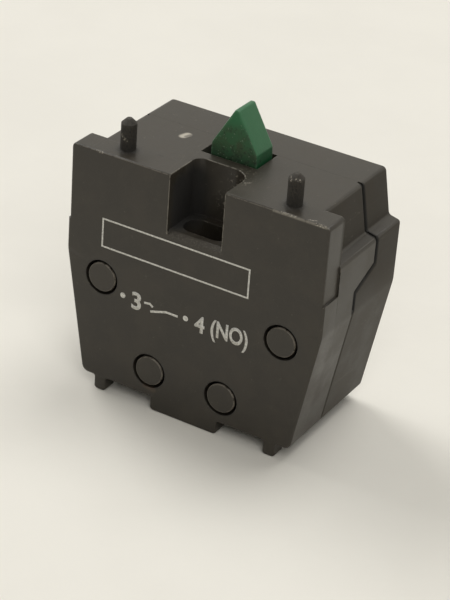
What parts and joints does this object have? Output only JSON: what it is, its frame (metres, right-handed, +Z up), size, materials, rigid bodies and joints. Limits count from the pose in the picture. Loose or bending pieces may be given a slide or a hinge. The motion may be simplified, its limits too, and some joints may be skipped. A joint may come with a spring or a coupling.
{
  "type": "push button contact block",
  "caption": "Make contact block for a panel push button: split black housing, green roof-shaped plunger, sprung contact bridge, screw terminals and captive fixing screw.",
  "frame": {"origin": "middle of the bounding box at the level of the feet, on which the block stands", "axes": "+Z up, the way the plunger and the locating pegs point; +Y from the printed front face to the back; +X to the right as seen from the front"},
  "size_m": [0.0294, 0.015, 0.0323],
  "materials": {
    "housing_plastic": "moulded warm black thermoset, satin, dusty, pale wear on the edges",
    "pin_plastic": "black moulded pin, end flush with the face",
    "plunger_plastic": "mid green moulded plastic, satin, grimy on the front face",
    "spring_steel": "bright drawn spring wire",
    "contact_brass": "stamped brass strip",
    "contact_silver": "silver alloy contact rivet",
    "zinc_steel": "zinc plated steel",
    "fibre": "red-brown vulcanised fibre"
  },
  "bodies": {
    "housing": {"front_shell": "housing_plastic", "rear_shell": "housing_plastic", "assembly_pin_upper_left": "pin_plastic", "assembly_pin_upper_right": "pin_plastic", "assembly_pin_lower_left": "pin_plastic", "assembly_pin_lower_right": "pin_plastic", "fixed_contact_left": "contact_brass", "fixed_contact_right": "contact_brass", "fixed_tip_left": "contact_silver", "fixed_tip_right": "contact_silver", "return_spring": "spring_steel"},
    "plunger": {"plunger": "plunger_plastic", "contact_spring": "spring_steel"},
    "bridge": {"contact_bridge": "contact_brass", "moving_tip_left": "contact_silver", "moving_tip_right": "contact_silver"},
    "clamp_left": {"clamp_saddle_left": "zinc_steel"},
    "clamp_right": {"clamp_saddle_right": "zinc_steel"},
    "clamp_screw_left": {"terminal_screw_left": "zinc_steel", "lock_washer_left": "zinc_steel"},
    "clamp_screw_right": {"terminal_screw_right": "zinc_steel", "lock_washer_right": "zinc_steel"},
    "fixing_retainer": {"retaining_washer": "fibre"},
    "fixing": {"fixing_screw": "zinc_steel"}
  },
  "joints": [
    {"name": "plunger_press", "type": "slide", "parent": "housing", "child": "plunger", "axis": [0, 0, -1], "range_m": [0, 0.0043], "stiffness_N_per_m": 600, "springref_m": -0.0035, "deforming": ["return_spring"]},
    {"name": "bridge_overtravel", "type": "slide", "parent": "plunger", "child": "bridge", "axis": [0, 0, 1], "range_m": [0, 0.0017], "deforming": ["contact_spring"]},
    {"name": "clamp_left_open", "type": "slide", "parent": "housing", "child": "clamp_left", "axis": [0, 0, -1], "range_m": [0, 0.0013]},
    {"name": "clamp_right_open", "type": "slide", "parent": "housing", "child": "clamp_right", "axis": [0, 0, -1], "range_m": [0, 0.0013]},
    {"name": "clamp_screw_left_turn", "type": "hinge", "parent": "clamp_left", "child": "clamp_screw_left", "pos_m": [-0.00878, 0.00165, 0.0039], "axis": [0, 0, -1], "range_deg": [0, 936]},
    {"name": "clamp_screw_right_turn", "type": "hinge", "parent": "clamp_right", "child": "clamp_screw_right", "pos_m": [0.00878, 0.00165, 0.0039], "axis": [0, 0, -1], "range_deg": [0, 936]},
    {"name": "fixing_screw_advance", "type": "slide", "parent": "housing", "child": "fixing_retainer", "axis": [0, 0, 1], "range_m": [0, 0.006]},
    {"name": "fixing_screw_turn", "type": "hinge", "parent": "fixing_retainer", "child": "fixing", "pos_m": [0, -0.00485, 0.001], "axis": [0, 0, 1], "range_deg": [0, 4320]}
  ],
  "couplings": [
    {"joint": "bridge_overtravel", "follows": "plunger_press", "ratio": 0.3953},
    {"joint": "clamp_screw_left_turn", "follows": "clamp_left_open", "rad_per_m": 12566},
    {"joint": "clamp_screw_right_turn", "follows": "clamp_right_open", "rad_per_m": 12566},
    {"joint": "fixing_screw_turn", "follows": "fixing_screw_advance", "rad_per_m": 12566}
  ]
}
